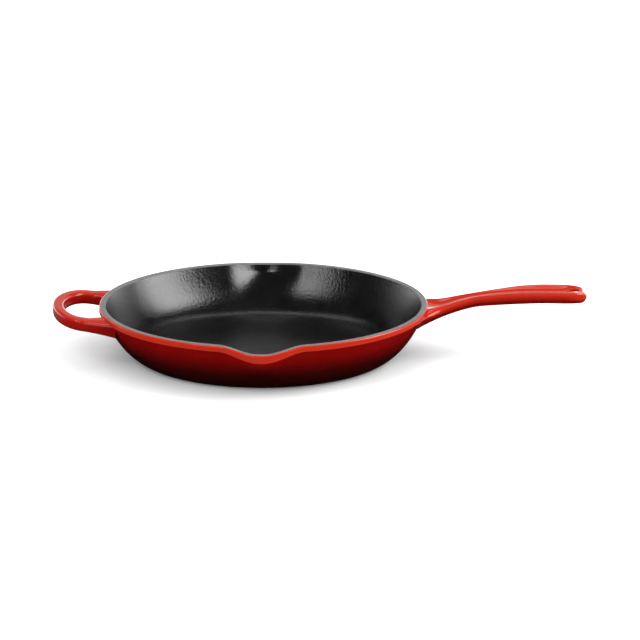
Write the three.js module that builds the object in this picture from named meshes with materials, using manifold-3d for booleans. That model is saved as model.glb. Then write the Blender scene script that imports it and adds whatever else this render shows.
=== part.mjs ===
// Enamelled cast iron skillet: a shallow round pan with two pouring spouts, a long handle that
// rises from the rim and a D-shaped helper handle opposite it, all cast in one piece of iron.
// Millimetres, Z up. The origin is the centre of the flat base. +X runs along the long handle,
// and the spouts point along +Y and -Y.
//
// The iron is modelled as three regions of one casting: the pan, the long handle and the helper
// handle. The enamel is modelled as separate coats on that iron: satin black inside, coloured
// gloss outside and on both handles, a bare grey ground coat on the rim, and a coat on the base.

import * as THREE from "three";
import { mergeVertices } from "three/addons/utils/BufferGeometryUtils.js";
import Module from "manifold-3d";

const wasm = await Module();
wasm.setup();

// ---------------------------------------------------------------- driving dimensions

// Pan
const BASE_RADIUS = 102.5;
const RIM_HEIGHT = 42.4;
const FLOOR_HEIGHT = 5.0; // top of the cooking floor, enamel included
const FLOOR_RADIUS = 93; // flat part of the cooking floor
const WALL_TOP_RADIUS = 131.6; // outside of the wall right under the lip band
const WALL_TOP_HEIGHT = 37;
const BAND_RADIUS = 134.5; // outside of the lip band
const BAND_BOTTOM = 37.4;
const RIM_INNER_RADIUS = 129.2;

// Pouring spouts, one each way along Y
const SPOUT_REACH = 12; // how far the rim is drawn out
const SPOUT_DIP = 3.5; // how far the rim drops
const SPOUT_HALF_ANGLE = THREE.MathUtils.degToRad(15.5);
const SPOUT_BAND_EXTRA = 2.4; // the lip band is this much taller at the spout
const SPOUT_START_HEIGHT = 8; // the wall below this is round

// Long handle
const HANDLE_ROOT_X = 121; // inside the wall of the pan
const HANDLE_TIP_X = 264.4;
const HANDLE_TIP_LENGTH = 20.4; // length of the rounded end, seen from above
const HANDLE_TIP_ROUND = 4.2; // rounding of the end, seen from the side
const HANDLE_TIP_FALL = 2.4; // how far the ridges fall toward the tip
const HANDLE_DISH = 2.0; // depth of the hollow along the top

// Hang hole, a teardrop with its point toward the pan
const HOLE_X = 254.3;
const HOLE_RADIUS = 4.5;
const HOLE_POINT = 8.8; // from the centre of the round end to the point

// Helper handle: a bar that leaves the wall twice and closes in a half ellipse, tilted up outward
const HELPER_X = -145; // where the straight bars meet the half ellipse
const HELPER_OUTER_REACH = 27.4;
const HELPER_OUTER_HALF_WIDTH = 49;
const HELPER_INNER_REACH = 18.2;
const HELPER_INNER_HALF_WIDTH = 36;
const HELPER_ROOT_X = -119; // inside the wall of the pan
const HELPER_TOP = 40.5; // near the pan
const HELPER_BOTTOM = 31.1; // where the half ellipse starts
const HELPER_TILT = 0.125; // rise over reach
const HELPER_ROOT_OUTER_FLARE = 5;
const HELPER_ROOT_INNER_FLARE = 12;
const HELPER_ROOT_DROP = 2;

// Enamel
const COAT = 0.4;
const GAP = 0.2; // clearance between neighbouring solids

// Mesh density
const AROUND = 60;
const CROWDING = 0.22; // draws the segments of the pan together at the spouts
const SECTION_SIDES = 20;

// ---------------------------------------------------------------- small helpers

const { clamp, lerp } = THREE.MathUtils;
const v2 = (x, y) => new THREE.Vector2(x, y);
const smooth = (x, a, b) => THREE.MathUtils.smoothstep(x, a, b);

function bezier(p0, p1, p2, p3, steps) {
  return new THREE.CubicBezierCurve(p0, p1, p2, p3).getPoints(steps);
}

// Moves a polyline sideways by d, to the left of its direction. A closed one wraps round.
function offset(points, d, closed = false) {
  const n = points.length;
  return points.map((p, i) => {
    const before = points[closed ? (i + n - 1) % n : Math.max(i - 1, 0)];
    const after = points[closed ? (i + 1) % n : Math.min(i + 1, n - 1)];
    const a = v2(p.x - before.x, p.y - before.y);
    const b = v2(after.x - p.x, after.y - p.y);
    const na = a.lengthSq() > 0 ? v2(-a.y, a.x).normalize() : v2(-b.y, b.x).normalize();
    const nb = b.lengthSq() > 0 ? v2(-b.y, b.x).normalize() : na.clone();
    const mid = na.clone().add(nb).normalize();
    const stretch = Math.min(1 / mid.dot(na), 1.6);
    return v2(p.x + mid.x * d * stretch, p.y + mid.y * d * stretch);
  });
}

// Rewrites every vertex of a geometry with a function of its position.
function reshape(geometry, move) {
  const position = geometry.attributes.position;
  const p = new THREE.Vector3();
  for (let i = 0; i < position.count; i++) {
    p.fromBufferAttribute(position, i);
    move(p);
    position.setXYZ(i, p.x, p.y, p.z);
  }
  return geometry;
}

// A closed geometry as a solid, facing outward whichever way its profile ran.
function solid(geometry) {
  const bare = new THREE.BufferGeometry();
  bare.setAttribute("position", geometry.attributes.position.clone());
  bare.setIndex(geometry.index ? geometry.index.clone() : null);
  const merged = mergeVertices(bare, 1e-4);
  const index = Array.from(merged.index.array);
  const at = (i) => new THREE.Vector3().fromBufferAttribute(merged.attributes.position, i);
  let volume = 0;
  const faces = [];
  for (let i = 0; i < index.length; i += 3) {
    const [a, b, c] = index.slice(i, i + 3);
    if (a === b || b === c || c === a) continue;
    faces.push([a, b, c]);
    volume += at(a).dot(at(b).cross(at(c)));
  }
  const wound = volume < 0 ? faces.map(([a, b, c]) => [a, c, b]) : faces;
  const mesh = new wasm.Mesh({
    numProp: 3,
    vertProperties: new Float32Array(merged.attributes.position.array),
    triVerts: new Uint32Array(wound.flat()),
  });
  return new wasm.Manifold(mesh);
}

function geometryOf(body) {
  const mesh = body.getMesh();
  const geometry = new THREE.BufferGeometry();
  geometry.setAttribute("position", new THREE.BufferAttribute(mesh.vertProperties, 3));
  geometry.setIndex(new THREE.BufferAttribute(mesh.triVerts, 1));
  geometry.computeVertexNormals();
  return geometry;
}

// ---------------------------------------------------------------- pan

// How much of the spout acts at an angle around the pan: 1 at the spout's middle, 0 beside it.
function spoutShare(angle) {
  const away = Math.abs((angle % Math.PI) - Math.PI / 2);
  return away < SPOUT_HALF_ANGLE ? Math.cos((Math.PI * away) / (2 * SPOUT_HALF_ANGLE)) ** 2 : 0;
}

// A point of the section, as (radius, height), drawn out and down by its share of a spout.
function pulled(p, share) {
  const out = SPOUT_REACH * smooth(p.y, SPOUT_START_HEIGHT, RIM_HEIGHT);
  const band = smooth(p.y, 12, BAND_BOTTOM) * (1 - smooth(p.y, BAND_BOTTOM + 0.7, RIM_HEIGHT - 0.9));
  const down = SPOUT_DIP * smooth(p.y, 18, RIM_HEIGHT) + SPOUT_BAND_EXTRA * band;
  return v2(p.x + out * share, p.y - down * share);
}

// Turns a section into a closed body. The section is a function of the spout's share, and keeps
// its number of points.
function turned(sectionAt) {
  const lathe = new THREE.LatheGeometry(sectionAt(0), AROUND);
  const position = lathe.attributes.position;
  for (let i = 0; i <= AROUND; i++) {
    const even = (2 * Math.PI * i) / AROUND;
    const angle = even + CROWDING * Math.sin(2 * even);
    const section = sectionAt(spoutShare(angle));
    section.forEach((p, j) => {
      position.setXYZ(i * section.length + j, p.x * Math.cos(angle), p.x * Math.sin(angle), p.y);
    });
  }
  return lathe;
}

// The whole skin of the pan in one line, from the edge of the base up the outside, over the rim
// and down the inside to the middle of the floor. The iron lies to the left of it.
const outerWall = bezier(
  v2(BASE_RADIUS, 0.1),
  v2(116, 6),
  v2(126.2, 22.5),
  v2(WALL_TOP_RADIUS, WALL_TOP_HEIGHT),
  8,
);
const lipBand = [
  v2(BAND_RADIUS - 0.6, BAND_BOTTOM),
  v2(BAND_RADIUS, BAND_BOTTOM + 0.6),
  v2(BAND_RADIUS, RIM_HEIGHT - 1.2),
  v2(BAND_RADIUS - 0.35, RIM_HEIGHT - 0.4),
  v2(BAND_RADIUS - 1.1, RIM_HEIGHT - 0.05),
];
const rimRing = [
  v2(BAND_RADIUS - 1.4, RIM_HEIGHT),
  v2(RIM_INNER_RADIUS + 1.2, RIM_HEIGHT),
  v2(RIM_INNER_RADIUS + 0.4, RIM_HEIGHT - 0.25),
  v2(RIM_INNER_RADIUS + 0.12, RIM_HEIGHT - 0.6),
];
const innerWall = bezier(
  v2(RIM_INNER_RADIUS, RIM_HEIGHT - 0.9),
  v2(120, 20),
  v2(112, FLOOR_HEIGHT),
  v2(FLOOR_RADIUS, FLOOR_HEIGHT),
  9,
);
const skin = [...outerWall, ...lipBand, ...rimRing, ...innerWall, v2(0, FLOOR_HEIGHT)];
const outerCount = outerWall.length + lipBand.length;
const rimCount = outerCount + rimRing.length;

const skinAt = (share) => skin.map((p) => pulled(p, share));

// A coat is the strip of skin from one index to another, as thick as the enamel.
const coat = (from, to) => (share) => {
  const face = skinAt(share).slice(from, to).reverse();
  const back = offset(skinAt(share), COAT).slice(from, to);
  return [...back, ...face, back[0].clone()];
};

// The coat that covers the floor starts and ends on the axis.
const flooredCoat = (from, to) => (share) => {
  const face = skinAt(share).slice(from, to).reverse();
  const back = offset(skinAt(share), COAT).slice(from, to);
  return [...face, ...back];
};

// The solid inside the skin, d below it, either hollow as cast or filled up to the rim.
const panBody = (d, filled) => (share) => {
  const line = offset(skinAt(share), d);
  const outside = line.slice(0, outerCount);
  const upper = filled ? [v2(0, line[outerCount].y)] : line.slice(outerCount);
  return [v2(0, line[0].y), ...outside, ...upper];
};

const baseCoat = () => [
  v2(0, 0),
  v2(BASE_RADIUS - 1.4, 0),
  v2(BASE_RADIUS - 0.9, 0.25),
  v2(BASE_RADIUS - 0.9, COAT),
  v2(0, COAT),
];

// ---------------------------------------------------------------- handles

// A body with closed ends: place(turn, along, p) puts the point at an angle of the section and
// a share of the length. middle(along, p) puts the centre of an end.
function loft(rings, place, middle) {
  const tube = new THREE.CylinderGeometry(1, 1, 1, SECTION_SIDES, rings);
  return reshape(tube, (p) => {
    const along = clamp(p.y + 0.5, 0, 1);
    if (Math.hypot(p.x, p.z) < 0.5) middle(along, p);
    else place(Math.atan2(p.z, p.x), along, p);
  });
}

// Value of a smooth line through the handle's stations.
function through(stations, key, x) {
  const n = stations.length;
  if (x <= stations[0].x) return stations[0][key];
  if (x >= stations[n - 1].x) return stations[n - 1][key];
  const i = stations.findIndex((s) => s.x > x);
  const slope = (k) => {
    const a = stations[Math.max(k - 1, 0)];
    const b = stations[Math.min(k + 1, n - 1)];
    return (b[key] - a[key]) / (b.x - a.x);
  };
  const a = stations[i - 1];
  const b = stations[i];
  const span = b.x - a.x;
  const t = (x - a.x) / span;
  const rise = (2 * t ** 3 - 3 * t ** 2 + 1) * a[key] + (3 * t ** 2 - 2 * t ** 3) * b[key];
  return rise + (t ** 3 - 2 * t ** 2 + t) * span * slope(i - 1) + (t ** 3 - t ** 2) * span * slope(i);
}

// The long handle from the pan to its rounded end: half the width between the ridges, half the
// full width, the height of the ridges and the height of the underside. Near the pan the sides
// spread into wings that run into the lip band.
const HANDLE_STATIONS = [
  { x: 121, half: 24, wing: 56, top: 41.2, bottom: 17 },
  { x: 126, half: 21, wing: 46, top: 41.3, bottom: 23 },
  { x: 130, half: 18.5, wing: 34.5, top: 41.4, bottom: 25.2 },
  { x: 134, half: 16.8, wing: 27.5, top: 41.6, bottom: 27.1 },
  { x: 138, half: 15.5, wing: 23, top: 41.9, bottom: 29 },
  { x: 144, half: 13.3, wing: 17.3, top: 42.7, bottom: 31.5 },
  { x: 151, half: 11.4, wing: 13.8, top: 44.2, bottom: 34 },
  { x: 160, half: 9.2, wing: 10.9, top: 46.6, bottom: 36.7 },
  { x: 173, half: 7.3, wing: 8.9, top: 49.4, bottom: 39.8 },
  { x: 190, half: 8.7, wing: 10.3, top: 51.9, bottom: 41.5 },
  { x: 210, half: 11.8, wing: 13.4, top: 54, bottom: 43 },
  { x: 228, half: 13.5, wing: 15.1, top: 54.6, bottom: 43.9 },
  { x: 244, half: 13.3, wing: 14.9, top: 54.5, bottom: 43.6 },
];

// Section of the long handle at x: a dished top between two ridges, full sides, a round belly.
function handleSection(x, inset) {
  const round = Math.max(x - (HANDLE_TIP_X - HANDLE_TIP_LENGTH), 0) / HANDLE_TIP_LENGTH;
  const width = Math.sqrt(Math.max(1 - round ** 2, 0));
  const nose = Math.max(x - (HANDLE_TIP_X - HANDLE_TIP_ROUND), 0) / HANDLE_TIP_ROUND;
  const height = Math.sqrt(Math.max(1 - nose ** 2, 0));
  const half = through(HANDLE_STATIONS, "half", x) * width;
  const wing = through(HANDLE_STATIONS, "wing", x) * width;
  const ridge = through(HANDLE_STATIONS, "top", x) - HANDLE_TIP_FALL * round ** 2;
  const belly = through(HANDLE_STATIONS, "bottom", x);
  const centre = (ridge + belly) / 2;
  const dish = HANDLE_DISH * smooth(x, 128, 150) * (1 - smooth(x, 243, 262));
  const fall = 1.5 + 1.1 * (1 - smooth(x, 136, 154)); // from the ridge to the shoulder of a wing
  const side = ridge - fall - 1.8; // height of the widest point
  const deep = side - belly;
  const rightHalf = [
    v2(0, ridge - dish),
    v2(half * 0.55, ridge - dish * 0.72),
    v2(half, ridge),
    v2(lerp(half, wing, 0.5), ridge - fall * 0.42),
    v2(lerp(half, wing, 0.88), ridge - fall),
    v2(wing, side),
    v2(lerp(half, wing, 0.72), side - deep * 0.32),
    v2(half * 0.97, side - deep * 0.6),
    v2(half * 0.79, side - deep * 0.85),
    v2(half * 0.45, side - deep * 0.98),
  ];
  const leftHalf = rightHalf.slice(1).reverse().map((p) => v2(-p.x, p.y));
  const loop = [...rightHalf, v2(0, belly), ...leftHalf];
  const squeezed = loop.map((p) => v2(p.x, centre + (p.y - centre) * height));
  return offset(squeezed, -inset, true);
}

// Stations along the handle, drawn together toward the rounded end.
function handleX(along, inset) {
  const body = 0.68;
  const start = HANDLE_TIP_X - HANDLE_TIP_LENGTH;
  if (along <= body) return lerp(HANDLE_ROOT_X, start, along / body);
  const turn = ((along - body) / (1 - body)) * THREE.MathUtils.degToRad(78);
  return start + (HANDLE_TIP_LENGTH - inset) * Math.sin(turn);
}

function longHandle(inset) {
  const place = (turn, along, p) => {
    const x = handleX(along, inset);
    // The station's own x, undrawn by the inset, gives its section.
    const section = handleSection(handleX(along, 0), inset);
    const k = Math.round((turn / (2 * Math.PI)) * SECTION_SIDES + SECTION_SIDES) % SECTION_SIDES;
    p.set(x, section[k].x, section[k].y);
  };
  const middle = (along, p) => {
    const x = handleX(along, inset);
    const own = handleX(along, 0);
    const height = (through(HANDLE_STATIONS, "top", own) + through(HANDLE_STATIONS, "bottom", own)) / 2;
    p.set(x, 0, height);
  };
  return solid(loft(30, place, middle));
}

// The hang hole as a plug that runs right through the handle.
function hangHole(grow) {
  const r = HOLE_RADIUS + grow;
  const point = HOLE_POINT + grow * 1.6;
  const touch = Math.acos(r / point);
  const outline = new THREE.Shape();
  outline.moveTo(-point, 0);
  outline.lineTo(-r * Math.cos(touch), -r * Math.sin(touch));
  outline.absarc(0, 0, r, Math.PI + touch, Math.PI - touch, false);
  outline.closePath();
  const plug = new THREE.ExtrudeGeometry(outline, { depth: 30, bevelEnabled: false, curveSegments: 10 });
  plug.translate(HOLE_X, 0, 35);
  return solid(plug);
}

// Plan of the helper handle at a share of its length: a point on the inner edge and one on the
// outer edge. The straight bars flare toward their roots in the wall of the pan.
function helperPlan(along) {
  const straight = 0.2;
  const mirror = along > 0.5 ? -1 : 1;
  const part = along > 0.5 ? 1 - along : along;
  if (part < straight) {
    const root = 1 - part / straight;
    const x = lerp(HELPER_X, HELPER_ROOT_X, root);
    const inner = HELPER_INNER_HALF_WIDTH - HELPER_ROOT_INNER_FLARE * root ** 2;
    const outer = HELPER_OUTER_HALF_WIDTH + HELPER_ROOT_OUTER_FLARE * root;
    return { inner: v2(x, mirror * inner), outer: v2(x, mirror * outer) };
  }
  const turn = ((part - straight) / (0.5 - straight)) * (Math.PI / 2);
  const on = (reach, half) =>
    v2(HELPER_X - reach * Math.sin(turn), mirror * half * Math.cos(turn));
  return {
    inner: on(HELPER_INNER_REACH, HELPER_INNER_HALF_WIDTH),
    outer: on(HELPER_OUTER_REACH, HELPER_OUTER_HALF_WIDTH),
  };
}

// Heights of the bar's top and bottom. Both rise outward, the top only beyond its root.
function helperHeights(x) {
  const beyond = Math.max(HELPER_X + 4 - x, 0);
  const root = Math.max(x - HELPER_X, 0) / (HELPER_ROOT_X - HELPER_X);
  return {
    top: HELPER_TOP + HELPER_TILT * beyond,
    bottom: HELPER_BOTTOM + HELPER_TILT * (HELPER_X - x) - HELPER_ROOT_DROP * root ** 2,
  };
}

function helperHandle(inset) {
  const roundness = 3.2; // between an ellipse (2) and a rectangle
  const place = (turn, along, p) => {
    const { inner, outer } = helperPlan(along);
    const c = Math.cos(turn);
    const s = Math.sin(turn);
    const reach = (Math.abs(c) ** roundness + Math.abs(s) ** roundness) ** (-1 / roundness);
    const half = outer.clone().sub(inner).multiplyScalar(0.5);
    const shrink = (half.length() - inset) / half.length();
    const x = (inner.x + outer.x) / 2 + half.x * shrink * reach * c;
    const y = (inner.y + outer.y) / 2 + half.y * shrink * reach * c;
    const { top, bottom } = helperHeights(x);
    p.set(x, y, (top + bottom) / 2 + ((top - bottom) / 2 - inset) * reach * s);
  };
  const middle = (along, p) => {
    const { inner, outer } = helperPlan(along);
    const { top, bottom } = helperHeights((inner.x + outer.x) / 2);
    p.set((inner.x + outer.x) / 2, (inner.y + outer.y) / 2, (top + bottom) / 2);
  };
  return solid(loft(30, place, middle));
}

// ---------------------------------------------------------------- pieces

const IRON = { color: 0x3a3a3a, roughness: 0.75, metalness: 0.9 };
const GLOSS = { color: 0xa81c14, roughness: 0.12, metalness: 0 };
const BLACK = { color: 0x1e1e1f, roughness: 0.5, metalness: 0 };
const GREY = { color: 0x7a7875, roughness: 0.45, metalness: 0 };
const DARK = { color: 0x2a0a0a, roughness: 0.35, metalness: 0 };

const skillet = new THREE.Group();

function add(name, body, look) {
  const mesh = new THREE.Mesh(geometryOf(body), new THREE.MeshStandardMaterial(look));
  mesh.name = name;
  skillet.add(mesh);
}

const panFilled = (d) => solid(turned(panBody(d, true)));

const handleIron = longHandle(COAT + GAP).subtract(hangHole(COAT + GAP));
const handleCore = longHandle(COAT).subtract(hangHole(COAT));
const handleFull = longHandle(0).subtract(hangHole(0));
const helperIron = helperHandle(COAT + GAP);
const helperCore = helperHandle(COAT);
const helperFull = helperHandle(0);

add("pan_casting", solid(turned(panBody(COAT + GAP, false))), IRON);
add("long_handle_casting", handleIron.subtract(panFilled(COAT)), IRON);
add("helper_handle_casting", helperIron.subtract(panFilled(COAT)), IRON);
add("interior_enamel", solid(turned(flooredCoat(rimCount, skin.length))), BLACK);
add("rim_enamel", solid(turned(coat(outerCount, rimCount))), GREY);
add("base_enamel", solid(turned(baseCoat)), DARK);

const wallCoat = solid(turned(coat(0, outerCount)));
add("exterior_enamel", wallCoat.subtract(longHandle(COAT)).subtract(helperCore), GLOSS);
add("long_handle_enamel", handleFull.subtract(handleCore).subtract(panFilled(-GAP)), GLOSS);
add("helper_handle_enamel", helperFull.subtract(helperCore).subtract(panFilled(-GAP)), GLOSS);

export default skillet;
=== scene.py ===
"""An enamelled cast iron skillet: one iron casting with a long handle, a helper handle and two
spouts, coated in graded red enamel outside, satin black inside and grey along the rim."""

import math

import bmesh
import bpy
import numpy as np
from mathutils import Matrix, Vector


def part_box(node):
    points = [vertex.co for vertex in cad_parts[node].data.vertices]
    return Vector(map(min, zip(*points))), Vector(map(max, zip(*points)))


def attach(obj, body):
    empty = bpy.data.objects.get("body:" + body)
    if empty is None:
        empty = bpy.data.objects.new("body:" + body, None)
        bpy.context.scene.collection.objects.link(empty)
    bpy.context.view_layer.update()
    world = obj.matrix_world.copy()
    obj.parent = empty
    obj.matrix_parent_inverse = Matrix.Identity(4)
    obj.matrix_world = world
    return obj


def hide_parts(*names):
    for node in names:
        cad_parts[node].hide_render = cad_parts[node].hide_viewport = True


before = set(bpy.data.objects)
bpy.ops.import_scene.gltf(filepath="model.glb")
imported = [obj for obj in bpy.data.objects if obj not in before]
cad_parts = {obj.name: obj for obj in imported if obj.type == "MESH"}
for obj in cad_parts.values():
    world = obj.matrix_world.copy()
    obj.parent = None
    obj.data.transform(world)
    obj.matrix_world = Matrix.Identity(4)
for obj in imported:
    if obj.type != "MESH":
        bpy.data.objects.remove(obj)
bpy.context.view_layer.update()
MM = 0.001

# ------------------------------------------------------------------ sizes, in millimetres
rim_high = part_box("rim_enamel")[1]
wall_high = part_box("exterior_enamel")[1]
RIM_HEIGHT = round(rim_high[2] / MM, 2)
BAND_RADIUS = round(wall_high[0] / MM, 2)
SPOUT_REACH = round((wall_high[1] - wall_high[0]) / MM, 2)
HANDLE_TIP_X = round(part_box("long_handle_enamel")[1][0] / MM, 1) + 0.4

BASE_RADIUS = 102.5
FLOOR_HEIGHT = 5.0
FLOOR_RADIUS = 93.0
WALL_TOP = (131.6, 37.0)
BAND_BOTTOM = 37.5
RIM_INNER_RADIUS = 129.2
LIP_ROUNDING = 1.5
GLAZE_EDGE_DROP = 0.12
EDGE_PULL = 9
COAT = 0.5

SPOUT_DIP = 3.5
SPOUT_HALF_ANGLE = 15.5
SPOUT_BAND_EXTRA = 2.4

SIDES = 384
CROWDING = 0.22

# Long handle, along x: half the width between the ridges, half the full width, ridge, underside
HANDLE_STATIONS = (
    (126, 21, 46, 41.3, 23),
    (130, 18.5, 34.5, 41.4, 25.2),
    (134, 16.8, 27.5, 41.6, 27.1),
    (138, 15.5, 23, 41.9, 29),
    (144, 13.3, 17.3, 42.7, 31.5),
    (151, 11.4, 13.8, 44.2, 34),
    (160, 9.2, 10.9, 46.6, 36.7),
    (173, 7.3, 8.9, 49.4, 39.8),
    (190, 8.7, 10.3, 51.9, 41.5),
    (210, 11.8, 13.4, 54, 43),
    (228, 13.5, 15.1, 54.6, 43.9),
    (244, 13.3, 14.9, 54.5, 43.6),
)
HANDLE_ROOT_X = 124.0
FLARE_END_X = 150
TIP_LENGTH = 20.4
TIP_ROUND = 5.8
TIP_FALL = 1.3
TIP_BLUNTNESS = 2.3
TIP_NARROWING = 0.04
EASED_TIP = (22.0, 5.0)
DISH = 2.6
DISH_HALF = 13.5
DISH_POWER = 1.5
DISH_STARTS = (128.0, 150.0)
DISH_ENDS = (243.0, 262.0)
RIDGE_FALL = 1.5
ROOT_RIDGE_FALL = 1.1
ROOT_RIDGE_ENDS = (136.0, 154.0)
SHOULDER = 1.8
TIP_SHOULDER = 2.0

# How far under the skin of the wall the handles' roots end
BURIED = 1.6

HOLE_X = 253.9
HOLE_RADIUS = 4.5
HOLE_POINT = 8.8
HOLE_LIP = 0.9
HOLE_LIP_TURNS = (12, 90)
CUTTER_RISE = 6.0
CUTTER_FLARE = 0.6
CUTTER_STOP = 4.0

# Helper handle
HELPER_X = -145.0
HELPER_OUTER = (27.4, 49.0)
HELPER_INNER = (18.2, 36.0)
HELPER_TOP = 40.5
HELPER_BOTTOM = 31.1
HELPER_TILT = 0.125
HELPER_ROOT_X = -119.0
HELPER_OUTER_FLARE = 5.0
HELPER_INNER_FLARE = 12.0
HELPER_ROOT_DROP = 2.0
HELPER_ROUNDNESS = 4.6
HELPER_BAR_SHARE = 0.2
HELPER_RISE_START = 4.0
SECTION_POINTS = 96


# ------------------------------------------------------------------ curves and meshes
def smooth(x, a, b):
    t = np.clip((x - a) / (b - a), 0, 1)
    return t * t * (3 - 2 * t)


def bezier(p0, p1, p2, p3, steps):
    t = np.linspace(0, 1, steps + 1)[:, None]
    p0, p1, p2, p3 = (np.array(p, float) for p in (p0, p1, p2, p3))
    return (1 - t) ** 3 * p0 + 3 * t * (1 - t) ** 2 * p1 + 3 * t * t * (1 - t) * p2 + t**3 * p3


def rounded(corners, radii, steps=8):
    """A line through the corners, each rounded by its radius."""
    points = [np.array(corners[0], float)]
    for before, corner, after, radius in zip(corners, corners[1:], corners[2:], radii):
        before, corner, after = (np.array(p, float) for p in (before, corner, after))
        a = (before - corner) / np.linalg.norm(before - corner)
        b = (after - corner) / np.linalg.norm(after - corner)
        start, end = corner + a * radius, corner + b * radius
        for k in range(steps + 1):
            t = k / steps
            points.append((1 - t) ** 2 * start + 2 * t * (1 - t) * corner + t * t * end)
    points.append(np.array(corners[-1], float))
    return np.array(points)


def offset_line(points, d):
    """The line moved to its left by d."""
    step = np.gradient(points, axis=0)
    step /= np.linalg.norm(step, axis=1)[:, None]
    return points + d * np.stack([-step[:, 1], step[:, 0]], axis=1)


def closed_spline(points, count):
    """A smooth closed line through the points, in count steps that are even between them."""
    n = len(points)
    t = np.arange(count) * n / count
    i = np.floor(t).astype(int)
    f = (t - i)[:, None]
    p0, p1, p2, p3 = (points[(i + k) % n] for k in (-1, 0, 1, 2))
    return 0.5 * (
        2 * p1 + (p2 - p0) * f + (2 * p0 - 5 * p1 + 4 * p2 - p3) * f**2
        + (3 * p1 - p0 - 3 * p2 + p3) * f**3
    )


def new_object(name, mesh):
    piece = bpy.data.objects.new(name, mesh)
    bpy.context.scene.collection.objects.link(piece)
    return piece


def loft_mesh(name, rings, close_start, close_end):
    """Skins a list of equal closed rings, in millimetres. close_* are points, or None."""
    n = len(rings[0])
    verts = [tuple(p * MM) for ring in rings for p in ring]
    faces = []
    for i in range(len(rings) - 1):
        for k in range(n):
            a, b = i * n + k, i * n + (k + 1) % n
            faces.append((a, b, b + n, a + n))
    for point, first in ((close_start, 0), (close_end, (len(rings) - 1) * n)):
        if point is None:
            continue
        verts.append(tuple(np.array(point) * MM))
        pole = len(verts) - 1
        for k in range(n):
            a, b = first + k, first + (k + 1) % n
            faces.append((b, a, pole) if first == 0 else (a, b, pole))
    mesh = bpy.data.meshes.new(name)
    mesh.from_pydata(verts, [], faces)
    tidy(mesh)
    return mesh


def tidy(mesh, sharp=40):
    """Merges doubles, turns every face outwards and shades smooth up to an angle."""
    shape = bmesh.new()
    shape.from_mesh(mesh)
    bmesh.ops.remove_doubles(shape, verts=shape.verts, dist=1e-6)
    bmesh.ops.dissolve_degenerate(shape, edges=shape.edges, dist=1e-7)
    bmesh.ops.recalc_face_normals(shape, faces=shape.faces)
    if shape.calc_volume(signed=True) < 0:
        bmesh.ops.reverse_faces(shape, faces=shape.faces)
    shape.to_mesh(mesh)
    shape.free()
    mesh.shade_smooth()
    mesh.set_sharp_from_angle(angle=math.radians(sharp))


def vertex_arrays(mesh):
    place = np.empty(len(mesh.vertices) * 3)
    mesh.vertices.foreach_get("co", place)
    normal = np.empty(len(mesh.vertices) * 3)
    mesh.vertices.foreach_get("normal", normal)
    return place.reshape(-1, 3) / MM, normal.reshape(-1, 3)


def store(mesh, name, values):
    layer = mesh.attributes.get(name) or mesh.attributes.new(name, "FLOAT", "POINT")
    layer.data.foreach_set("value", np.asarray(values, dtype=np.float32))


def store_crest(mesh):
    """Stores how sharply each vertex stands out, from 0 (flat or hollow) to 1 (a 1 mm edge)."""
    place, normal = vertex_arrays(mesh)
    ends = np.empty(len(mesh.edges) * 2, dtype=np.int64)
    mesh.edges.foreach_get("vertices", ends)
    a, b = ends.reshape(-1, 2).T
    step = place[b] - place[a]
    square = np.maximum((step**2).sum(1), 1e-6)
    bend = np.zeros(len(place))
    count = np.zeros(len(place))
    np.add.at(bend, a, -(normal[a] * step).sum(1) / square)
    np.add.at(bend, b, (normal[b] * step).sum(1) / square)
    np.add.at(count, a, 1)
    np.add.at(count, b, 1)
    bend = np.clip(bend / np.maximum(count, 1), 0, 1)
    for _ in range(3):
        total = bend.copy()
        np.add.at(total, a, bend[b])
        np.add.at(total, b, bend[a])
        bend = total / (count + 1)
    store(mesh, "crest", np.clip(bend * 3, 0, 1))


# ------------------------------------------------------------------ node helpers
def node(tree, kind, inputs=(), **settings):
    """Adds a node. inputs are (name or number, socket or value) pairs."""
    made = tree.nodes.new(kind)
    for key, value in settings.items():
        setattr(made, key, value)
    for key, value in inputs:
        socket = made.inputs[key]
        if isinstance(value, bpy.types.NodeSocket):
            tree.links.new(value, socket)
        else:
            socket.default_value = value
    return made


def calc(tree, operation, a, b=0.0):
    made = node(tree, "ShaderNodeMath", ((0, a), (1, b)), operation=operation)
    return made.outputs[0]


def eased(tree, value, low, high):
    inputs = (("Value", value), ("From Min", low), ("From Max", high))
    made = node(tree, "ShaderNodeMapRange", inputs, interpolation_type="SMOOTHSTEP")
    return made.outputs["Result"]


def scaled_range(tree, value, low, high, to_low, to_high):
    inputs = (
        ("Value", value), ("From Min", low), ("From Max", high),
        ("To Min", to_low), ("To Max", to_high),
    )
    return node(tree, "ShaderNodeMapRange", inputs, clamp=True).outputs["Result"]


def soft_band(tree, value, low, high):
    """1 between two soft edges, each a (start, end) pair, and 0 outside them."""
    below_top = calc(tree, "SUBTRACT", 1.0, eased(tree, value, *high))
    return calc(tree, "MULTIPLY", eased(tree, value, *low), below_top)


# ------------------------------------------------------------------ pan sweep
SWEEP_INPUTS = (
    ("Sides", "NodeSocketInt", SIDES),
    ("Profile Points", "NodeSocketInt", 10),
    ("Crowding", "NodeSocketFloat", CROWDING),
    ("Spout Reach", "NodeSocketFloat", SPOUT_REACH * MM),
    ("Spout Dip", "NodeSocketFloat", SPOUT_DIP * MM),
    ("Spout Half Angle", "NodeSocketFloat", math.radians(SPOUT_HALF_ANGLE)),
    ("Spout Band Extra", "NodeSocketFloat", SPOUT_BAND_EXTRA * MM),
    ("Spout Start", "NodeSocketFloat", 8 * MM),
    ("Spout Dip Start", "NodeSocketFloat", 18 * MM),
    ("Thicker Band Start", "NodeSocketFloat", 12 * MM),
    ("Band Bottom", "NodeSocketFloat", BAND_BOTTOM * MM),
    ("Rim Height", "NodeSocketFloat", RIM_HEIGHT * MM),
    ("Material", "NodeSocketMaterial", None),
)


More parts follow.
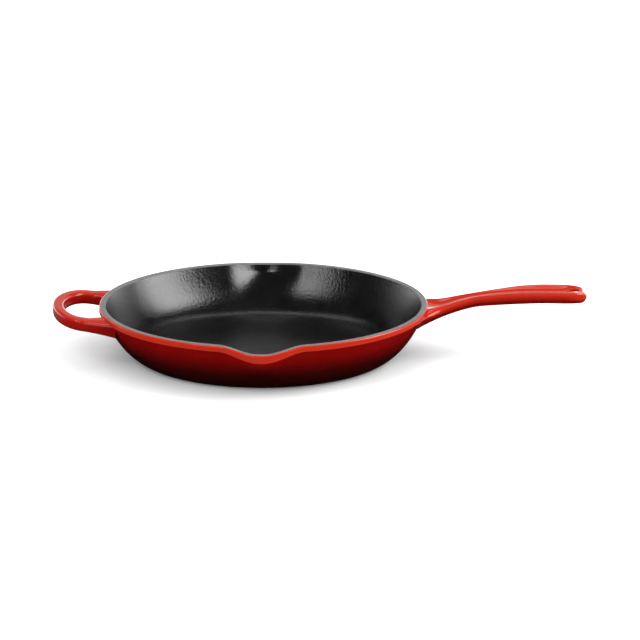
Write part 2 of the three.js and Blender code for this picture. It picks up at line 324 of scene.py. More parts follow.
def build_sweep_tree():
    """Turns a section (points at radius, 0, height) round the upright axis and draws it out and
    down into two opposite spouts."""
    tree = bpy.data.node_groups.new("pan_sweep", "GeometryNodeTree")
    tree.interface.new_socket("Geometry", in_out="INPUT", socket_type="NodeSocketGeometry")
    for name, kind, value in SWEEP_INPUTS:
        socket = tree.interface.new_socket(name, in_out="INPUT", socket_type=kind)
        if value is not None:
            socket.default_value = value
    tree.interface.new_socket("Geometry", in_out="OUTPUT", socket_type="NodeSocketGeometry")
    given = tree.nodes.new("NodeGroupInput").outputs
    columns = calc(tree, "ADD", given["Sides"], 1.0)
    grid = node(tree, "GeometryNodeMeshGrid", (
        ("Size X", 1.0), ("Size Y", 1.0),
        ("Vertices X", columns), ("Vertices Y", given["Profile Points"]),
    ))
    spot = node(tree, "ShaderNodeSeparateXYZ", (
        (0, tree.nodes.new("GeometryNodeInputPosition").outputs[0]),
    ))
    around = calc(tree, "ADD", spot.outputs["X"], 0.5)
    across = calc(tree, "ADD", spot.outputs["Y"], 0.5)
    last = calc(tree, "SUBTRACT", given["Profile Points"], 1.0)
    index = calc(tree, "ROUND", calc(tree, "MULTIPLY", across, last))
    sample = tree.nodes.new("GeometryNodeSampleIndex")
    sample.data_type = "FLOAT_VECTOR"
    sample.domain = "POINT"
    tree.links.new(given["Geometry"], sample.inputs["Geometry"])
    tree.links.new(tree.nodes.new("GeometryNodeInputPosition").outputs[0], sample.inputs["Value"])
    tree.links.new(index, sample.inputs["Index"])
    section = node(tree, "ShaderNodeSeparateXYZ", ((0, sample.outputs[0]),))
    radius, height = section.outputs["X"], section.outputs["Z"]

    even = calc(tree, "MULTIPLY", around, 2 * math.pi)
    wave = calc(tree, "SINE", calc(tree, "MULTIPLY", even, 2.0))
    angle = calc(tree, "ADD", even, calc(tree, "MULTIPLY", wave, given["Crowding"]))
    turn = calc(tree, "FLOORED_MODULO", angle, math.pi)
    away = calc(tree, "ABSOLUTE", calc(tree, "SUBTRACT", turn, math.pi / 2))
    part = calc(tree, "MINIMUM", calc(tree, "DIVIDE", away, given["Spout Half Angle"]), 1.0)
    bell = calc(tree, "COSINE", calc(tree, "MULTIPLY", part, math.pi / 2))
    share = calc(tree, "MULTIPLY", bell, bell)

    rise = eased(tree, height, given["Spout Start"], given["Rim Height"])
    out = calc(tree, "MULTIPLY", calc(tree, "MULTIPLY", rise, given["Spout Reach"]), share)
    below = eased(tree, height, given["Thicker Band Start"], given["Band Bottom"])
    crest_low = calc(tree, "ADD", given["Band Bottom"], 0.7 * MM)
    crest_high = calc(tree, "SUBTRACT", given["Rim Height"], 0.9 * MM)
    above = calc(tree, "SUBTRACT", 1.0, eased(tree, height, crest_low, crest_high))
    thicker = calc(tree, "MULTIPLY", calc(tree, "MULTIPLY", below, above), given["Spout Band Extra"])
    sinking = eased(tree, height, given["Spout Dip Start"], given["Rim Height"])
    dip = calc(tree, "MULTIPLY", sinking, given["Spout Dip"])
    down = calc(tree, "MULTIPLY", calc(tree, "ADD", dip, thicker), share)
    pulled = calc(tree, "ADD", radius, out)
    place = node(tree, "ShaderNodeCombineXYZ", (
        (0, calc(tree, "MULTIPLY", pulled, calc(tree, "COSINE", angle))),
        (1, calc(tree, "MULTIPLY", pulled, calc(tree, "SINE", angle))),
        (2, calc(tree, "SUBTRACT", height, down)),
    ))
    keep = node(tree, "GeometryNodeStoreNamedAttribute", (
        ("Geometry", grid.outputs["Mesh"]), ("Name", "skin_height"), ("Value", height),
    ), data_type="FLOAT", domain="POINT")
    moved = node(tree, "GeometryNodeSetPosition", (
        ("Geometry", keep.outputs["Geometry"]), ("Position", place.outputs[0]),
    ))
    joined = node(tree, "GeometryNodeMergeByDistance", (
        ("Geometry", moved.outputs[0]), ("Distance", 2e-6),
    ))
    real = node(tree, "GeometryNodeRealizeInstances", ((0, joined.outputs[0]),))
    painted = node(tree, "GeometryNodeSetMaterial", (
        ("Geometry", real.outputs[0]), ("Material", given["Material"]),
    ))
    node(tree, "NodeGroupOutput", ((0, painted.outputs[0]),))
    return tree


def sweep(name, section, tree, material):
    """A coat of the pan, from its closed section in millimetres."""
    source = bpy.data.meshes.new(name + "_section")
    source.from_pydata([(r * MM, 0.0, z * MM) for r, z in section], [], [])
    piece = new_object(name, source)
    modifier = piece.modifiers.new("pan_sweep", "NODES")
    modifier.node_group = tree
    sockets = {
        item.name: item.identifier
        for item in tree.interface.items_tree
        if item.item_type == "SOCKET" and item.in_out == "INPUT"
    }
    modifier[sockets["Profile Points"]] = len(section)
    modifier[sockets["Material"]] = material
    bpy.context.view_layer.update()
    evaluated = piece.evaluated_get(bpy.context.evaluated_depsgraph_get())
    mesh = bpy.data.meshes.new_from_object(evaluated)
    piece.modifiers.remove(modifier)
    piece.data = mesh
    mesh.name = name
    bpy.data.meshes.remove(source)
    tidy(mesh)
    return piece


# ------------------------------------------------------------------ section of the pan
foot = np.array([(0, 0), (40, 0), (80, 0), (BASE_RADIUS - 1.6, 0), (BASE_RADIUS - 0.8, 0.02)])
outer_wall = bezier((BASE_RADIUS, 0.1), (116, 6), (126.2, 22.5), WALL_TOP, 46)
top_line = rounded(
    (WALL_TOP, (WALL_TOP[0] + 0.35, BAND_BOTTOM - 0.05), (BAND_RADIUS, BAND_BOTTOM),
     (BAND_RADIUS, RIM_HEIGHT), (RIM_INNER_RADIUS + 0.1, RIM_HEIGHT),
     (RIM_INNER_RADIUS, RIM_HEIGHT - 0.9)),
    (0.3, 0.75, LIP_ROUNDING, 0.7),
    12,
)[1:]
# The red coat ends and the grey one starts on the lip's outer rounding, just below its top
off_edge = np.abs(top_line[:, 1] - RIM_HEIGHT + GLAZE_EDGE_DROP)
split = int(np.argmax(top_line.sum(axis=1) - off_edge * EDGE_PULL))
outer_band = top_line[: split + 1]
rim_skin = top_line[split:]
outer_skin = np.concatenate([outer_wall, outer_band])
inner_wall = bezier(
    (RIM_INNER_RADIUS, RIM_HEIGHT - 0.9), (120, 20), (112, FLOOR_HEIGHT),
    (FLOOR_RADIUS, FLOOR_HEIGHT), 60,
)
floor_line = np.array([(r, FLOOR_HEIGHT) for r in (86, 76, 64, 50, 34, 16, 0)], float)
inner_skin = np.concatenate([inner_wall, floor_line])


def coat_section(skin):
    """A coat's closed section: its skin, then its back on the iron."""
    back = offset_line(skin, COAT)[::-1]
    back[:, 0] = np.maximum(back[:, 0], 0)
    if skin[0][0] == 0:
        back[-1][0] = 0
        return np.concatenate([skin, back])
    if skin[-1][0] == 0:
        back[0][0] = 0
    return np.concatenate([skin, back, skin[:1]])


# ------------------------------------------------------------------ roots of the handles
def buried(points):
    """Moves points that lie deep in the wall of the pan out to just under its skin."""
    radius = np.hypot(points[:, 0], points[:, 1])
    limit = np.interp(points[:, 2], outer_skin[:-1, 1], outer_skin[:-1, 0]) - BURIED
    grow = np.maximum(1, limit / radius)
    moved = points.copy()
    moved[:, 0] *= grow
    moved[:, 1] *= grow
    return moved


def root_caps(ring):
    """Rings that close a handle's root inside the wall of the pan, and the last point."""
    centre = ring.mean(axis=0)
    caps = [buried(ring + (centre - ring) * share) for share in (0.2, 0.4, 0.6, 0.8)]
    return caps, buried(centre[None])[0]


# ------------------------------------------------------------------ long handle
stations = np.array(HANDLE_STATIONS, float)


def station(column, x):
    """One column of the stations at x, along a smooth curve through them."""
    xs, values = stations[:, 0], stations[:, column]
    slope = np.gradient(values, xs)
    slope[1:-1] = (values[2:] - values[:-2]) / (xs[2:] - xs[:-2])
    x = min(max(x, xs[0]), xs[-1])
    i = min(int(np.searchsorted(xs, x, side="right")) - 1, len(xs) - 2)
    span = xs[i + 1] - xs[i]
    t = (x - xs[i]) / span
    return (
        (2 * t**3 - 3 * t**2 + 1) * values[i] + (3 * t**2 - 2 * t**3) * values[i + 1]
        + (t**3 - 2 * t**2 + t) * span * slope[i] + (t**3 - t**2) * span * slope[i + 1]
    )


def section_points(half, wing, ridge, belly, dish, fall, shoulder):
    """Points round the long handle's section: hollow, ridge, shoulder, side and underside."""
    side = ridge - fall - shoulder
    deep = side - belly
    over = wing - half
    right = [
        (0, ridge - dish), (half * 0.28, ridge - dish * 0.94), (half * 0.55, ridge - dish * 0.72),
        (half * 0.82, ridge - dish * 0.24), (half, ridge), (half + over * 0.5, ridge - fall * 0.42),
        (half + over * 0.88, ridge - fall), (wing, side), (half + over * 0.72, side - deep * 0.32),
        (half * 0.97, side - deep * 0.6), (half * 0.79, side - deep * 0.85),
        (half * 0.45, side - deep * 0.98),
    ]
    left = [(-y, z) for y, z in right[:0:-1]]
    return np.array(right + [(0, belly)] + left, float)


def handle_ring(x):
    """The long handle's section at x, as an even closed line."""
    turn = min(max(x - (HANDLE_TIP_X - TIP_LENGTH), 0) / TIP_LENGTH, 1)
    width = (1 - turn**TIP_BLUNTNESS) ** (1 / TIP_BLUNTNESS)
    nose = min(max(x - (HANDLE_TIP_X - TIP_ROUND), 0) / TIP_ROUND, 1)
    height = math.sqrt(1 - nose**2)
    half, wing = station(1, x) * width, station(2, x) * width
    ridge = station(3, x) - TIP_FALL * turn**2
    belly = station(4, x)
    dish = DISH * (half / DISH_HALF) ** DISH_POWER
    dish *= smooth(x, *DISH_STARTS) * (1 - smooth(x, *DISH_ENDS))
    near_tip = smooth(x, HANDLE_TIP_X - EASED_TIP[0], HANDLE_TIP_X - EASED_TIP[1])
    half *= 1 - TIP_NARROWING * near_tip
    fall = RIDGE_FALL + ROOT_RIDGE_FALL * (1 - smooth(x, *ROOT_RIDGE_ENDS))
    shoulder = SHOULDER + TIP_SHOULDER * near_tip
    points = section_points(half, wing, ridge, belly, dish, fall, shoulder)
    centre = (ridge + belly) / 2
    points[:, 1] = centre + (points[:, 1] - centre) * height
    line = closed_spline(points, SECTION_POINTS)
    return np.column_stack([np.full(len(line), x), line[:, 0], line[:, 1]])


def handle_surface(x, y, top):
    """Height of the handle's top or underside over a point."""
    ring = handle_ring(x)
    half = len(ring) // 2
    upper = np.concatenate([ring[half + half // 2:], ring[: half // 2]])
    lower = ring[half // 2: half + half // 2][::-1]
    line = upper if top else lower
    return float(np.interp(y, line[:, 1], line[:, 2]))


def build_handle():
    """The long handle, from its root in the wall to its round tip."""
    start = HANDLE_TIP_X - TIP_LENGTH
    flare = np.linspace(HANDLE_ROOT_X, FLARE_END_X, 90)
    grip = np.linspace(FLARE_END_X, start, 140)[1:]
    tip_turns = np.radians(np.linspace(0, 89.4, 64)[1:])
    tip_places = [start + TIP_LENGTH * math.sin(turn) for turn in tip_turns]
    rings = [buried(handle_ring(x)) for x in (*flare, *grip, *tip_places)]
    caps, middle = root_caps(rings[0])
    rings = caps[::-1] + rings
    tip = (HANDLE_TIP_X, 0, (station(3, start + TIP_LENGTH) - TIP_FALL + station(4, start)) / 2)
    mesh = loft_mesh("long_handle_glaze", rings, middle, tip)
    return new_object("long_handle_glaze", mesh)


def hole_outline(grow, count=96):
    """Outline of the hang hole, a teardrop with its point toward the pan."""
    r = HOLE_RADIUS + grow
    point = HOLE_POINT + grow * 1.5
    touch = math.acos(r / point)
    turns = np.linspace(-math.pi + touch, math.pi - touch, 61)
    arc = [(r * math.cos(turn), r * math.sin(turn)) for turn in turns]
    line = np.array(arc + [(-point, 0)], float)
    line = np.vstack([line, line[:1]])
    walk = np.concatenate([[0], np.cumsum(np.linalg.norm(np.diff(line, axis=0), axis=1))])
    even = np.linspace(0, walk[-1], count, endpoint=False)
    flat = np.column_stack([np.interp(even, walk, line[:, 0]), np.interp(even, walk, line[:, 1])])
    for _ in range(6):
        flat = (np.roll(flat, 1, axis=0) + 2 * flat + np.roll(flat, -1, axis=0)) / 4
    return flat


def cut_hang_hole(handle):
    """Cuts the hang hole, with its lips rounded above and below."""
    rings = []
    levels = [(CUTTER_RISE, HOLE_LIP + CUTTER_FLARE)]
    for turn in np.radians(np.linspace(*HOLE_LIP_TURNS, 9)):
        levels.append((HOLE_LIP * (math.cos(turn) - 1), HOLE_LIP * (1 - math.sin(turn))))
    for top in (True, False):
        side = []
        for depth, grow in levels:
            flat = hole_outline(grow)
            ring = []
            for u, v in flat:
                x, y = HOLE_X + u, v
                surface = handle_surface(min(x, HANDLE_TIP_X - CUTTER_STOP), y, top)
                ring.append((x, y, surface + depth if top else surface - depth))
            side.append(np.array(ring))
        rings += side if top else side[::-1]
    start = rings[0].mean(axis=0)
    end = rings[-1].mean(axis=0)
    cutter = new_object("hole_cutter", loft_mesh("hole_cutter", rings, start, end))
    modifier = handle.modifiers.new("hang_hole", "BOOLEAN")
    modifier.operation = "DIFFERENCE"
    modifier.solver = "EXACT"
    modifier.object = cutter
    bpy.context.view_layer.update()
    evaluated = handle.evaluated_get(bpy.context.evaluated_depsgraph_get())
    mesh = bpy.data.meshes.new_from_object(evaluated)
    handle.modifiers.remove(modifier)
    handle.data = mesh
    mesh.name = handle.name
    bpy.data.objects.remove(cutter)
    tidy(mesh)


# ------------------------------------------------------------------ helper handle
def helper_plan(along):
    """The loop's inner and outer edge in plan, from one root (0) round to the other (1)."""
    mirror = -1 if along > 0.5 else 1
    part = 1 - along if along > 0.5 else along
    if part < HELPER_BAR_SHARE:
        root = 1 - part / HELPER_BAR_SHARE
        x = HELPER_X + (HELPER_ROOT_X - HELPER_X) * root
        inner = HELPER_INNER[1] - HELPER_INNER_FLARE * root**2
        outer = HELPER_OUTER[1] + HELPER_OUTER_FLARE * root
        return np.array([x, mirror * inner]), np.array([x, mirror * outer])
    turn = (part - HELPER_BAR_SHARE) / (0.5 - HELPER_BAR_SHARE) * math.pi / 2
    return tuple(
        np.array([HELPER_X - reach * math.sin(turn), mirror * half * math.cos(turn)])
        for reach, half in (HELPER_INNER, HELPER_OUTER)
    )


def helper_heights(x):
    """Height of the loop's top and underside at x."""
    beyond = max(HELPER_X + HELPER_RISE_START - x, 0)
    root = max(x - HELPER_X, 0) / (HELPER_ROOT_X - HELPER_X)
    top = HELPER_TOP + HELPER_TILT * beyond
    bottom = HELPER_BOTTOM + HELPER_TILT * (HELPER_X - x) - HELPER_ROOT_DROP * root**2
    return top, bottom


def helper_ring(along):
    """The helper handle's section, a rounded box."""
    inner, outer = helper_plan(along)
    half = (outer - inner) / 2
    power = HELPER_ROUNDNESS
    ring = []
    for k in range(SECTION_POINTS):
        turn = 2 * math.pi * k / SECTION_POINTS
        c, s = math.cos(turn), math.sin(turn)
        reach = (abs(c) ** power + abs(s) ** power) ** (-1 / power)
        x, y = (inner + outer) / 2 + half * reach * c
        top, bottom = helper_heights(x)
        ring.append((x, y, (top + bottom) / 2 + (top - bottom) / 2 * reach * s))
    return np.array(ring)


def build_helper():
    """The helper handle, a loop from one root in the wall to the other."""
    rings = [buried(helper_ring(along)) for along in np.linspace(0, 1, 241)]
    front, front_middle = root_caps(rings[0])
    back, back_middle = root_caps(rings[-1])
    rings = front[::-1] + rings + back
    mesh = loft_mesh("helper_handle_glaze", rings, front_middle, back_middle)
    return new_object("helper_handle_glaze", mesh)


# ------------------------------------------------------------------ materials
def build_glaze_group():
    """Fired enamel: long ripples, fine orange peel and slow mottling."""
    tree = bpy.data.node_groups.new("fired_glaze", "ShaderNodeTree")
    for name, value in (("Ripple Scale", 120.0), ("Peel Scale", 900.0), ("Peel Share", 0.3),
                        ("Mottle Scale", 40.0)):
        socket = tree.interface.new_socket(name, in_out="INPUT", socket_type="NodeSocketFloat")
        socket.default_value = value
    for name in ("Height", "Mottle", "Speck"):
        tree.interface.new_socket(name, in_out="OUTPUT", socket_type="NodeSocketFloat")
    given = tree.nodes.new("NodeGroupInput").outputs
    place = tree.nodes.new("ShaderNodeTexCoord").outputs["Object"]
    ripple = node(tree, "ShaderNodeTexNoise", (
        ("Vector", place), ("Scale", given["Ripple Scale"]), ("Detail", 2.0), ("Roughness", 0.45),
    ))
    peel = node(tree, "ShaderNodeTexNoise", (
        ("Vector", place), ("Scale", given["Peel Scale"]), ("Detail", 3.0), ("Roughness", 0.55),
    ))
    height = node(tree, "ShaderNodeMix", (
        ("Factor", given["Peel Share"]), ("A", ripple.outputs["Fac"]), ("B", peel.outputs["Fac"]),
    ), data_type="FLOAT")
    mottle = node(tree, "ShaderNodeTexNoise", (
        ("Vector", place), ("Scale", given["Mottle Scale"]), ("Detail", 4.0), ("Roughness", 0.6),
    ))
    cells = node(tree, "ShaderNodeTexVoronoi", (("Vector", place), ("Scale", 260.0)))
    speck = scaled_range(tree, cells.outputs["Distance"], 0.05, 0.12, 1.0, 0.0)
    node(tree, "NodeGroupOutput", (
        ("Height", height.outputs[0]), ("Mottle", mottle.outputs["Fac"]), ("Speck", speck),
    ))
    return tree


def new_material(name):
    material = bpy.data.materials.new(name)
    material.use_nodes = True
    tree = material.node_tree
    return material, tree, tree.nodes["Principled BSDF"]


def glaze(tree, group, **values):
    made = tree.nodes.new("ShaderNodeGroup")
    made.node_tree = group
    for key, value in values.items():
        made.inputs[key.replace("_", " ")].default_value = value
    return made.outputs


def ramp(tree, factor, stops):
    made = node(tree, "ShaderNodeValToRGB", (("Fac", factor),))
    elements = made.color_ramp.elements
    while len(elements) < len(stops):
        elements.new(0.5)
    for element, (position, colour) in zip(elements, stops):
        element.position = position
        element.color = (*colour, 1.0)
    return made.outputs["Color"]


def bumped(tree, shader, height, strength, distance):
    made = node(tree, "ShaderNodeBump", (
        ("Strength", strength), ("Distance", distance), ("Height", height),
    ))
    tree.links.new(made.outputs["Normal"], shader.inputs["Normal"])


def attribute(tree, name):
    made = node(tree, "ShaderNodeAttribute", attribute_name=name, attribute_type="GEOMETRY")
    return made.outputs["Fac"]


def by_mottle(tree, surface, low, high):
    """A value that follows the mottling between two levels."""
    return scaled_range(tree, surface["Mottle"], 0.3, 0.7, low, high)


def mixed(tree, factor, a, b, blend="MIX"):
    made = node(tree, "ShaderNodeMix", (("Factor", factor),), data_type="RGBA", blend_type=blend)
    for socket, value in ((made.inputs[6], a), (made.inputs[7], b)):
        if isinstance(value, bpy.types.NodeSocket):
            tree.links.new(value, socket)
        else:
            socket.default_value = (*value, 1.0)
    return made.outputs[2]


# Reds for the stored grade of ombré and painted light, from nearly black in painted shade to
# orange-red where lit
RED_SHADES = (
    (0.0, (0.005, 0.0005, 0.0005)),
    (0.25, (0.019, 0.0006, 0.0006)),
    (0.45, (0.055, 0.0007, 0.0007)),
    (0.62, (0.105, 0.001, 0.0009)),
    (0.8, (0.155, 0.004, 0.002)),
    (1.0, (0.215, 0.0105, 0.0042)),
)
THIN_ORANGE = (0.30, 0.024, 0.009)
RED_SPECK = (0.10, 0.004, 0.003)


def red_enamel(group):
    """The outer enamel: the stored grade, which holds the enamel's own ombré with painted light and
    shade, picks its red, and thin glaze on the crests is orange.
    """
    material, tree, shader = new_material("graded_red_enamel")
    surface = glaze(
        tree, group, Ripple_Scale=110.0, Peel_Scale=700.0, Peel_Share=0.18, Mottle_Scale=45.0,
    )
    # Painted light and shade: the stored grade darkens the red low down and under the handles and
    # lightens faces turned up
    ombre_and_painted_light = calc(tree, "ADD", attribute(tree, "ombre_and_painted_light"), by_mottle(tree, surface, -0.025, 0.025))
    colour = ramp(tree, ombre_and_painted_light, RED_SHADES)
    thin = calc(tree, "MULTIPLY", attribute(tree, "crest"), 0.35)
    colour = mixed(tree, thin, colour, THIN_ORANGE)
    speck = calc(tree, "MULTIPLY", surface["Speck"], 0.25)
    colour = mixed(tree, speck, colour, RED_SPECK)
    tree.links.new(colour, shader.inputs["Base Color"])
    tree.links.new(by_mottle(tree, surface, 0.07, 0.12), shader.inputs["Roughness"])
    shader.inputs["IOR"].default_value = 1.45
    shader.inputs["Specular IOR Level"].default_value = 0.31
    bumped(tree, shader, surface["Height"], 0.25, 0.0006)
    return material


def black_enamel(group):
    """The inner enamel: peeled on the wall, smoother and duller on the cooking floor."""
    material, tree, shader = new_material("satin_black_enamel")
    surface = glaze(
        tree, group, Ripple_Scale=480.0, Peel_Scale=1400.0, Peel_Share=0.35, Mottle_Scale=60.0,
    )
    colour = ramp(tree, surface["Mottle"], (
        (0.3, (0.0022, 0.0022, 0.0023)), (0.7, (0.004, 0.004, 0.0041)),
    ))
    speck = calc(tree, "MULTIPLY", surface["Speck"], 0.3)
    colour = mixed(tree, speck, colour, (0.012, 0.012, 0.012))
    tree.links.new(colour, shader.inputs["Base Color"])
    on_floor = attribute(tree, "floor")
    duller = calc(tree, "MULTIPLY", on_floor, 0.11)
    rough = calc(tree, "ADD", by_mottle(tree, surface, 0.17, 0.23), duller)
    tree.links.new(rough, shader.inputs["Roughness"])
    shader.inputs["IOR"].default_value = 1.5
    relief = scaled_range(tree, on_floor, 0.0, 1.0, 1.25, 0.35)
    bumped(tree, shader, calc(tree, "MULTIPLY", surface["Height"], relief), 0.7, 0.00038)
    return material


def grey_enamel(group):
    """The dull grey enamel along the lip."""
    material, tree, shader = new_material("grey_rim_enamel")
    surface = glaze(
        tree, group, Ripple_Scale=300.0, Peel_Scale=1500.0, Peel_Share=0.5, Mottle_Scale=160.0,
    )
    colour = ramp(tree, surface["Mottle"], (
        (0.3, (0.060, 0.059, 0.058)), (0.7, (0.092, 0.091, 0.088)),
    ))
    tree.links.new(colour, shader.inputs["Base Color"])
    tree.links.new(by_mottle(tree, surface, 0.38, 0.5), shader.inputs["Roughness"])
    shader.inputs["Specular IOR Level"].default_value = 0.05
    bumped(tree, shader, surface["Height"], 0.4, 0.0003)
    return material


WORN_RING_RADIUS = 0.094
WORN_RING_HALF = 0.009


def base_enamel(group):
    """The base coat, scuffed to grey along the ring that the pan stands on."""
    material, tree, shader = new_material("worn_base_enamel")
    surface = glaze(
        tree, group, Ripple_Scale=140.0, Peel_Scale=800.0, Peel_Share=0.4, Mottle_Scale=70.0,
    )
    place = tree.nodes.new("ShaderNodeTexCoord").outputs["Object"]
    parts = node(tree, "ShaderNodeSeparateXYZ", ((0, place),)).outputs
    squares = [calc(tree, "MULTIPLY", parts[axis], parts[axis]) for axis in "XY"]
    radius = calc(tree, "SQRT", calc(tree, "ADD", *squares))
    off_ring = calc(tree, "ABSOLUTE", calc(tree, "SUBTRACT", radius, WORN_RING_RADIUS))
    on_ring = scaled_range(tree, off_ring, 0.0, WORN_RING_HALF, 1.0, 0.0)
    scuffs = node(tree, "ShaderNodeTexNoise", (
        ("Vector", place), ("Scale", 420.0), ("Detail", 5.0), ("Roughness", 0.7),
    ))
    scuffed = scaled_range(tree, scuffs.outputs["Fac"], 0.5, 0.62, 0.0, 0.8)
    wear = calc(tree, "MULTIPLY", on_ring, scuffed)
    colour = ramp(tree, surface["Mottle"], (
        (0.3, (0.016, 0.006, 0.006)), (0.7, (0.03, 0.012, 0.011)),
    ))
    colour = mixed(tree, wear, colour, (0.16, 0.15, 0.145))
    tree.links.new(colour, shader.inputs["Base Color"])
    rough = scaled_range(tree, wear, 0.0, 0.8, 0.4, 0.6)
    tree.links.new(rough, shader.inputs["Roughness"])
    bumped(tree, shader, surface["Height"], 0.4, 0.0004)
    return material


def bare_iron(group):
    """The cast iron inside the coats."""
    material, tree, shader = new_material("cast_iron")
    surface = glaze(
        tree, group, Ripple_Scale=400.0, Peel_Scale=1600.0, Peel_Share=0.6, Mottle_Scale=120.0,
    )
    colour = ramp(tree, surface["Mottle"], (
        (0.3, (0.055, 0.052, 0.05)), (0.7, (0.11, 0.105, 0.1)),
    ))
    tree.links.new(colour, shader.inputs["Base Color"])
    shader.inputs["Metallic"].default_value = 0.8
    tree.links.new(by_mottle(tree, surface, 0.5, 0.7), shader.inputs["Roughness"])
    bumped(tree, shader, surface["Height"], 0.6, 0.0004)
    return material


group = build_glaze_group()
red = red_enamel(group)
black = black_enamel(group)
grey = grey_enamel(group)
underside = base_enamel(group)
iron = bare_iron(group)

# ------------------------------------------------------------------ pieces
sweep_tree = build_sweep_tree()
wall = sweep("outer_glaze", coat_section(outer_skin), sweep_tree, red)
ring = sweep("rim_glaze", coat_section(rim_skin), sweep_tree, grey)
inside = sweep("inner_glaze", coat_section(inner_skin), sweep_tree, black)
foot_skin = np.vstack([foot, outer_wall[:1]])
base = sweep("base_glaze", coat_section(foot_skin), sweep_tree, underside)
all_skin = np.concatenate([outer_skin[:-1], rim_skin[:-1], inner_skin])
core_skin = offset_line(all_skin, COAT)
core_skin[-1][0] = 0
core_section = np.concatenate([core_skin, [(0, COAT), (BASE_RADIUS - 2, COAT)], core_skin[:1]])
core = sweep("pan_iron", core_section, sweep_tree, iron)
handle = build_handle()
cut_hang_hole(handle)
helper = build_helper()
for piece in (handle, helper):
    piece.data.materials.clear()
    piece.data.materials.append(red)


def read_attribute(mesh, name):
    values = np.empty(len(mesh.vertices), dtype=np.float32)
    mesh.attributes[name].data.foreach_get("value", values)
    return values.astype(float)


# Grades run from 0, nearly black, to 1, orange-red; they carry the enamel's own ombré together with
# painted light and shade
def wall_ombre_and_shade(height):
    """How the red grades up the wall, darker towards the bottom: partly the sprayed enamel's own
    ombré, partly painted shade low on the wall; it steps up on the band.
    """
    return 0.62 * smooth(height, -6, 36.5) ** 1.3 + 0.36 * smooth(height, 36.6, 38.2)


def handle_painted_light(place, normal, lit):
    """A handle's painted light and shade: lighter where it faces up, painted shade underneath and
    low down, blending into the wall's grade by the wall.
    """
    height, facing_up = place[:, 2], normal[:, 2]
    out = np.hypot(place[:, 0], place[:, 1]) - BAND_RADIUS
    grade = (0.58 + 0.40 * lit) * (0.25 + 0.75 * smooth(height, 18, 38))
    joining = (1 - smooth(out, -2, 16)) * (1 - smooth(facing_up, 0.2, 0.7))
    return grade + (wall_ombre_and_shade(height) - grade) * joining


# Painted shade: the wall's red darkens towards the foot, beyond the enamel's own ombré
store(wall.data, "ombre_and_painted_light", wall_ombre_and_shade(read_attribute(wall.data, "skin_height") / MM))
# Painted light and shade on the handles: faces turned up get a lighter red, faces turned down a
# painted shade
for piece in (handle, helper):
    place, normal = vertex_arrays(piece.data)
    lit = smooth(normal[:, 2], -0.8, 0.3)
    # The helper's sides get extra painted shade
    if piece is helper:
        lit = 0.35 * lit + 0.5 * smooth(normal[:, 2], -0.3, 0.9)
    store(piece.data, "ombre_and_painted_light", handle_painted_light(place, normal, lit))
for piece in (wall, handle, helper):
    store_crest(piece.data)
place = vertex_arrays(inside.data)[0]
store(inside.data, "floor", 1 - smooth(np.hypot(place[:, 0], place[:, 1]), 96, 112))

for piece, names, slot in (
    (wall, ("exterior_enamel",), "exterior_enamel"),
    (ring, ("rim_enamel",), "rim_enamel"),
    (inside, ("interior_enamel",), "interior_enamel"),
    (base, ("base_enamel",), "base_enamel"),
    (core, ("pan_casting",), "iron"),
    (handle, ("long_handle_enamel", "long_handle_casting"), "exterior_enamel"),
    (helper, ("helper_handle_enamel", "helper_handle_casting"), "exterior_enamel"),
):
    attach(piece, "root")
    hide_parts(*names)

# ------------------------------------------------------------------ floor, light and camera
FLOOR_HALF = 6
floor_mesh = bpy.data.meshes.new("floor")
corners = [(x * FLOOR_HALF, y * FLOOR_HALF, 0) for x, y in ((-1, -1), (1, -1), (1, 1), (-1, 1))]
floor_mesh.from_pydata(corners, [], [(0, 1, 2, 3)])
floor = new_object("floor", floor_mesh)
floor_paint, tree, shader = new_material("pale_floor")
shader.inputs["Base Color"].default_value = (0.48, 0.48, 0.48, 1)
shader.inputs["Roughness"].default_value = 0.9
shader.inputs["Specular IOR Level"].default_value = 0.1
shader.inputs["Emission Color"].default_value = (1, 1, 1, 1)
shader.inputs["Emission Strength"].default_value = 0.02
floor_mesh.materials.append(floor_paint)
floor.visible_glossy = False

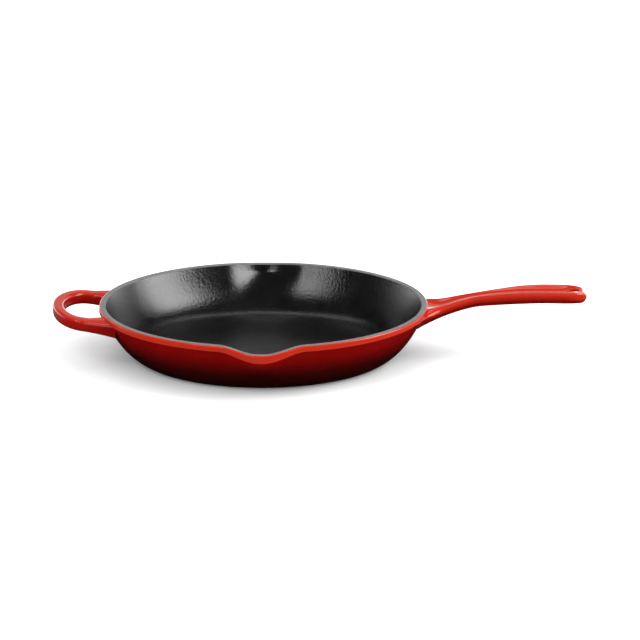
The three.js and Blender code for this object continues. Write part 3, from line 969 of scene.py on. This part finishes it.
# What the glaze mirrors: a dark set, with a pale backdrop and a bright horizon behind the pan
MIRRORED_DARK = 0.005
MIRRORED_BACKDROP = 0.42
MIRRORED_HORIZON = 2.2
WORLD_FILL = 2.5
LIGHT_DISTANCE = 2.0
world = bpy.data.worlds.new("studio")
bpy.context.scene.world = world
world.use_nodes = True
tree = world.node_tree
tree.nodes.clear()
path = tree.nodes.new("ShaderNodeLightPath").outputs
way = node(tree, "ShaderNodeSeparateXYZ", (
    (0, tree.nodes.new("ShaderNodeTexCoord").outputs["Generated"]),
)).outputs
backdrop = soft_band(tree, way["Z"], (-0.4, -0.1), (0.31, 0.43))
horizon = soft_band(tree, way["Z"], (-0.25, -0.05), (0.08, 0.2))
backdrop = calc(tree, "MULTIPLY", backdrop, MIRRORED_BACKDROP)
horizon = calc(tree, "MULTIPLY", horizon, MIRRORED_HORIZON)
behind = eased(tree, way["Y"], -0.1, 0.6)
mirrored = calc(tree, "MULTIPLY", calc(tree, "ADD", backdrop, horizon), behind)
mirrored = calc(tree, "ADD", mirrored, MIRRORED_DARK)
fill = calc(tree, "MULTIPLY", path["Is Diffuse Ray"], WORLD_FILL)
strength = calc(tree, "MAXIMUM", fill, mirrored)
strength = calc(tree, "MAXIMUM", path["Is Camera Ray"], strength)
pale = node(tree, "ShaderNodeBackground", (("Color", (1, 1, 1, 1)), ("Strength", strength)))
node(tree, "ShaderNodeOutputWorld", (("Surface", pale.outputs[0]),))


def softbox(name, azimuth, elevation, width, height, strength):
    """A soft light aimed at the pan, placed by degrees right of the front and above the floor."""
    light = bpy.data.lights.new(name, "AREA")
    light.shape = "RECTANGLE"
    light.size = width
    light.size_y = height
    light.energy = strength * width * height * math.pi
    lamp = bpy.data.objects.new(name, light)
    a, e = math.radians(azimuth), math.radians(elevation)
    way = Vector((math.sin(a) * math.cos(e), -math.cos(a) * math.cos(e), math.sin(e)))
    lamp.location = way * LIGHT_DISTANCE
    lamp.rotation_euler = way.to_track_quat("Z", "Y").to_euler()
    bpy.context.scene.collection.objects.link(lamp)


softbox("right_softbox", 89, 29, 1.35, 1.75, 9.0)
softbox("left_softbox", -41, 39, 0.8, 0.95, 6.5)
softbox("back_strip", 180, 50, 1.5, 0.24, 2.2)
softbox("front_card", -25, 3, 0.35, 0.6, 3.0)

CAMERA_TILT = 15.40
camera_data = bpy.data.cameras.new("camera")
camera_data.sensor_width = 36.0
camera_data.lens = 225.0
camera_data.clip_end = 50.0
camera = bpy.data.objects.new("camera", camera_data)
camera.location = (0.0462, -3.1608, 0.8986)
camera.rotation_euler = (math.radians(90 - CAMERA_TILT), 0, 0)
bpy.context.scene.collection.objects.link(camera)
bpy.context.scene.camera = camera
bpy.context.scene.view_settings.view_transform = "Standard"
